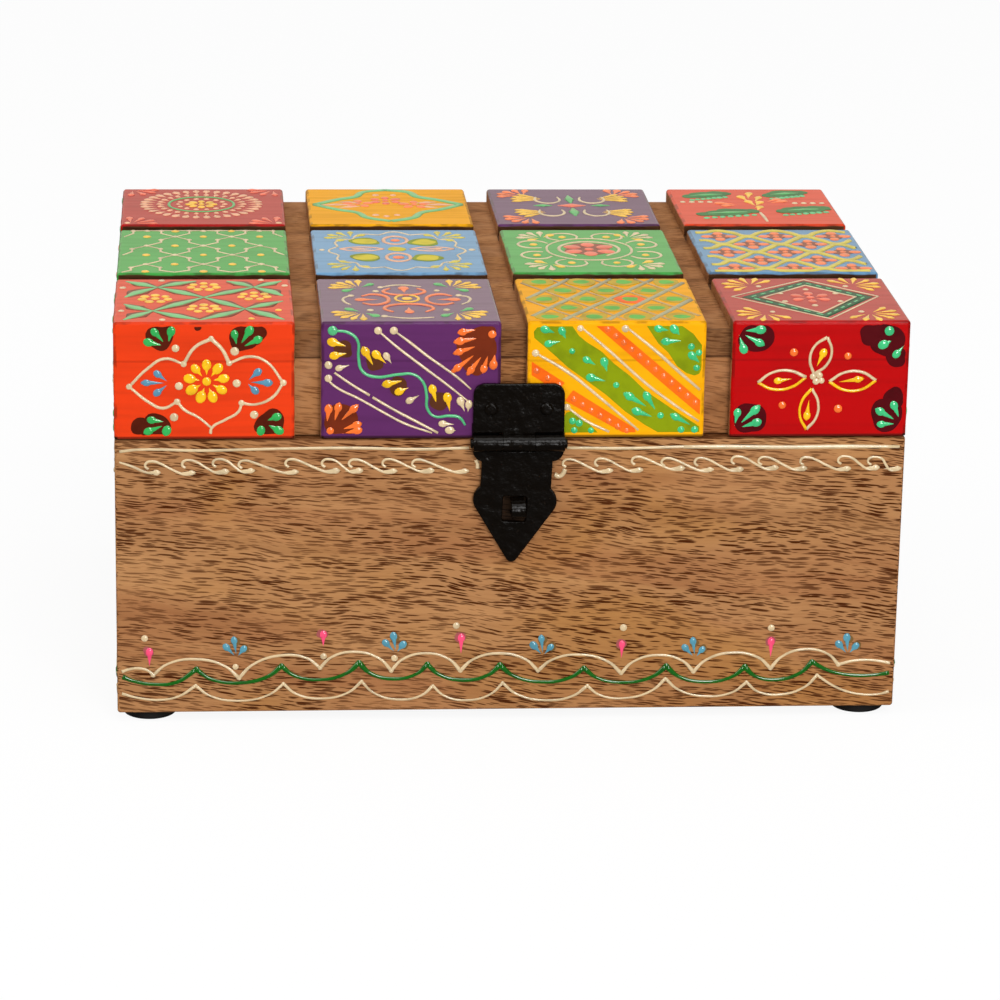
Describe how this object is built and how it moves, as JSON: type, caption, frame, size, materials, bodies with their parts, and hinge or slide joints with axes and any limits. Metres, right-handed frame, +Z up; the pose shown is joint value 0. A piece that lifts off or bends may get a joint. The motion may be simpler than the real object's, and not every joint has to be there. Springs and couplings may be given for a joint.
{
  "type": "keepsake box",
  "caption": "Painted wooden keepsake box with a hinged lid cut into raised blocks, an iron hasp that swings over a staple, and low round feet.",
  "frame": {"origin": "on the surface that the feet stand on, under the middle of the wooden box", "axes": "+X to the right along the width, +Y to the back, +Z up; the front with the hasp faces -Y"},
  "size_m": [0.2032, 0.1627, 0.1071],
  "materials": {
    "mango_wood": "satin oil",
    "painted_block_wood": "gloss paint",
    "black_iron": "gloss black paint",
    "foot_rubber": "matte"
  },
  "bodies": {
    "box": {"front_panel": "mango_wood", "back_panel": "mango_wood", "left_panel": "mango_wood", "right_panel": "mango_wood", "bottom_panel": "mango_wood", "foot_front_left": "foot_rubber", "foot_front_right": "foot_rubber", "foot_back_left": "foot_rubber", "foot_back_right": "foot_rubber", "hasp_staple": "black_iron", "left_hinge_box_leaf": "black_iron", "right_hinge_box_leaf": "black_iron", "left_hinge_pin": "black_iron", "right_hinge_pin": "black_iron", "hinge_box_nails": "black_iron"},
    "lid": {"lid_top_board": "painted_block_wood", "lid_front_rail": "painted_block_wood", "lid_back_rail": "painted_block_wood", "lid_left_rail": "painted_block_wood", "lid_right_rail": "painted_block_wood", "left_hinge_lid_leaf": "black_iron", "right_hinge_lid_leaf": "black_iron", "hinge_lid_nails": "black_iron", "hasp_leaf": "black_iron", "hasp_nails": "black_iron", "hasp_pin": "black_iron"},
    "hasp_strap": {"hasp_strap": "black_iron"}
  },
  "joints": [
    {"name": "lid_hinge", "type": "hinge", "parent": "box", "child": "lid", "pos_m": [0, 0.0785, 0.07645], "axis": [-1, 0, 0], "range_deg": [0, 180]},
    {"name": "hasp_swing", "type": "hinge", "parent": "lid", "child": "hasp_strap", "pos_m": [0.0014, -0.0786, 0.07565], "axis": [-1, 0, 0], "range_deg": [0, 180]}
  ]
}
